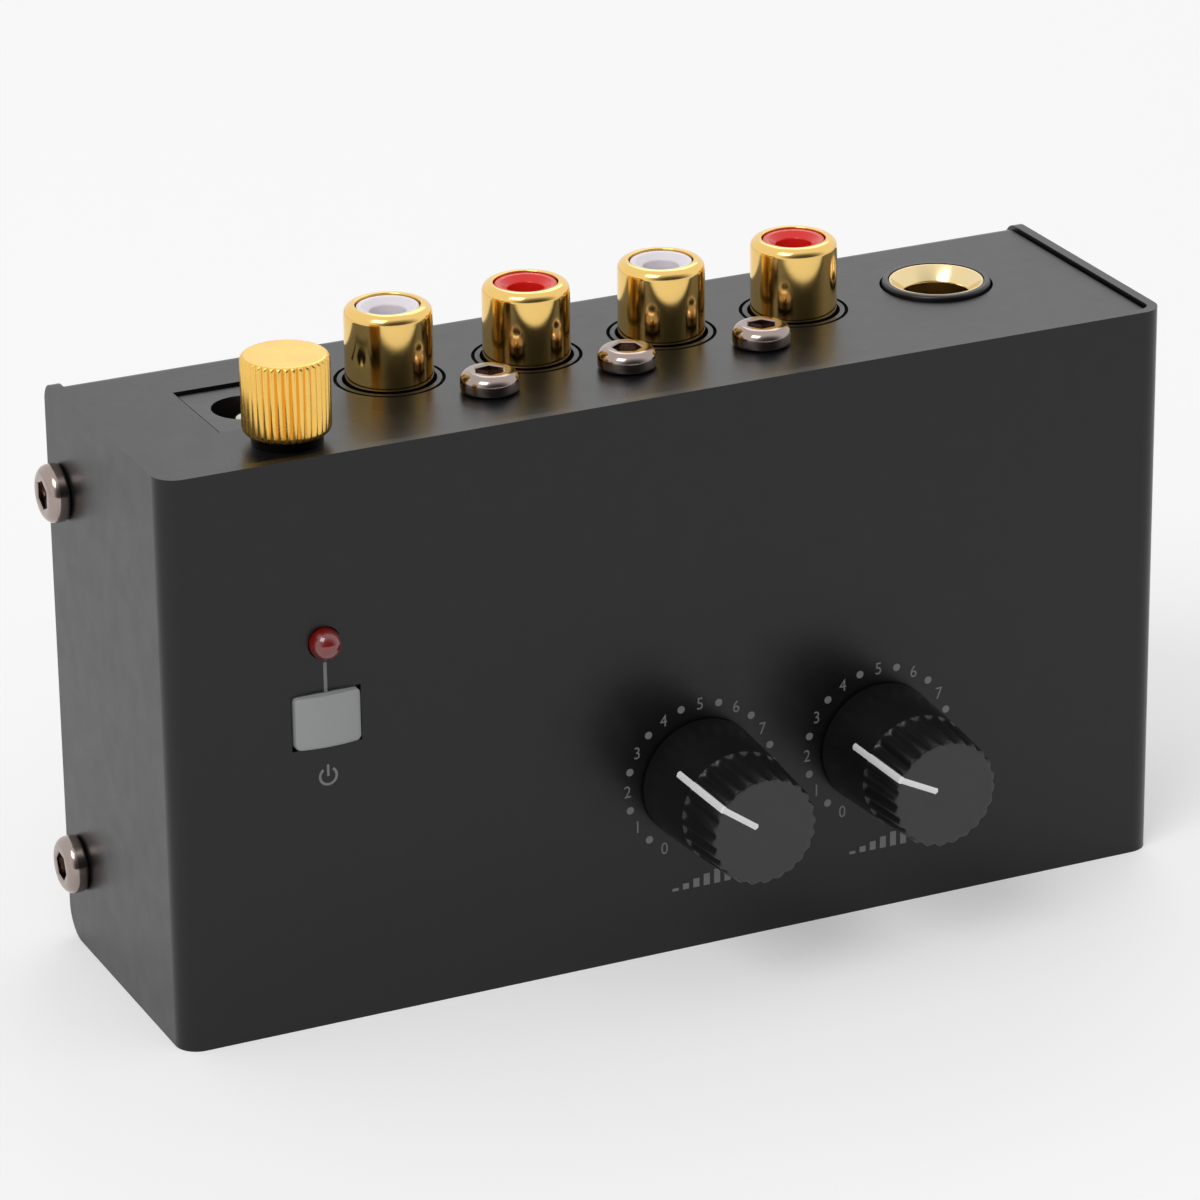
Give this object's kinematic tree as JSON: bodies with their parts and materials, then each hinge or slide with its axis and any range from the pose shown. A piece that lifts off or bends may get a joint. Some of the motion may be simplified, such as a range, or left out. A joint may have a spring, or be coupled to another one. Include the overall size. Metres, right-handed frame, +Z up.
{
  "type": "phono preamp",
  "caption": "Compact phono preamplifier: folded metal case with phono sockets, a jack, a DC inlet and a ground terminal on top, two dial knobs, a lamp and a power button on the front.",
  "frame": {"origin": "middle of the case bottom face", "axes": "+X along the case to the right seen from the knob panel, +Y from the knob panel to the back plate, +Z up to the sockets"},
  "size_m": [0.1064, 0.0453, 0.0645],
  "materials": {
    "case_paint": "satin powder coat",
    "screw_steel": "black nickel",
    "foot_rubber": "matt",
    "board_laminate": "solder resist",
    "nickel": "nickel plate",
    "black_moulding": "moulded",
    "gold_plate": "polished gold plate",
    "gold_satin": "satin gold plate",
    "dark_washer": "black oxide",
    "white_insulator": "moulded",
    "red_insulator": "moulded",
    "red_lens": "clear red epoxy",
    "grey_button": "moulded",
    "plunger_plastic": "moulded",
    "knob_black": "moulded",
    "pointer_white": "moulded inlay",
    "shaft_metal": "turned",
    "capacitor_sleeve": "shrink sleeve",
    "film_box": "moulded box",
    "resistor_coat": "lacquer"
  },
  "bodies": {
    "case": {"board_screws": "nickel", "board_standoffs": "nickel", "chassis": "case_paint", "circuit_board": "board_laminate", "cover": "case_paint", "electrolytic_capacitors": "capacitor_sleeve", "film_capacitors": "film_box", "ground_inner_nut": "nickel", "ground_lug": "nickel", "ground_stud": "nickel", "jack_body": "black_moulding", "jack_bushing": "gold_plate", "jack_screws": "screw_steel", "jack_springs": "nickel", "lamp_leads": "nickel", "lamp_spacer": "black_moulding", "level_pot_body": "black_moulding", "level_pot_bushing": "nickel", "op_amps": "black_moulding", "phono_contact_1": "gold_plate", "phono_contact_2": "gold_plate", "phono_contact_3": "gold_plate", "phono_contact_4": "gold_plate", "phono_housing": "black_moulding", "phono_insulator_red_2": "red_insulator", "phono_insulator_red_4": "red_insulator", "phono_insulator_white_1": "white_insulator", "phono_insulator_white_3": "white_insulator", "phono_shell_1": "gold_plate", "phono_shell_2": "gold_plate", "phono_shell_3": "gold_plate", "phono_shell_4": "gold_plate", "power_lamp": "red_lens", "power_socket_body": "black_moulding", "power_socket_pin": "nickel", "power_socket_spring": "nickel", "resistors": "resistor_coat", "rubber_feet": "foot_rubber", "side_screws": "screw_steel", "switch_body": "black_moulding", "voltage_regulator": "black_moulding", "volume_pot_body": "black_moulding", "volume_pot_bushing": "nickel"},
    "knob_level": {"level_knob": "knob_black", "level_pointer": "pointer_white", "level_pot_shaft": "shaft_metal"},
    "knob_volume": {"volume_knob": "knob_black", "volume_pointer": "pointer_white", "volume_pot_shaft": "shaft_metal"},
    "button": {"power_button_cap": "grey_button", "switch_plunger": "plunger_plastic"},
    "terminal_washer": {"ground_washer": "dark_washer"},
    "terminal_nut": {"ground_thumb_nut": "gold_satin"}
  },
  "joints": [
    {"name": "level_turn", "type": "hinge", "parent": "case", "child": "knob_level", "pos_m": [0.0017, -0.015, 0.0175], "axis": [0, -1, 0], "range_deg": [-204.5, 95.5]},
    {"name": "volume_turn", "type": "hinge", "parent": "case", "child": "knob_volume", "pos_m": [0.0206, -0.015, 0.0175], "axis": [0, -1, 0], "range_deg": [-213.5, 86.5]},
    {"name": "button_press", "type": "slide", "parent": "case", "child": "button", "axis": [0, 1, 0], "range_m": [0, 0.0022], "stiffness_N_per_m": 400, "springref_m": -0.001},
    {"name": "terminal_rise", "type": "slide", "parent": "case", "child": "terminal_washer", "axis": [0, 0, 1], "range_m": [0, 0.0035]},
    {"name": "terminal_turn", "type": "hinge", "parent": "terminal_washer", "child": "terminal_nut", "pos_m": [-0.0367, -0.00915, 0.057], "axis": [0, 0, 1], "range_deg": [0, 1805]}
  ],
  "couplings": [
    {"joint": "terminal_turn", "follows": "terminal_rise", "rad_per_m": 8976}
  ]
}
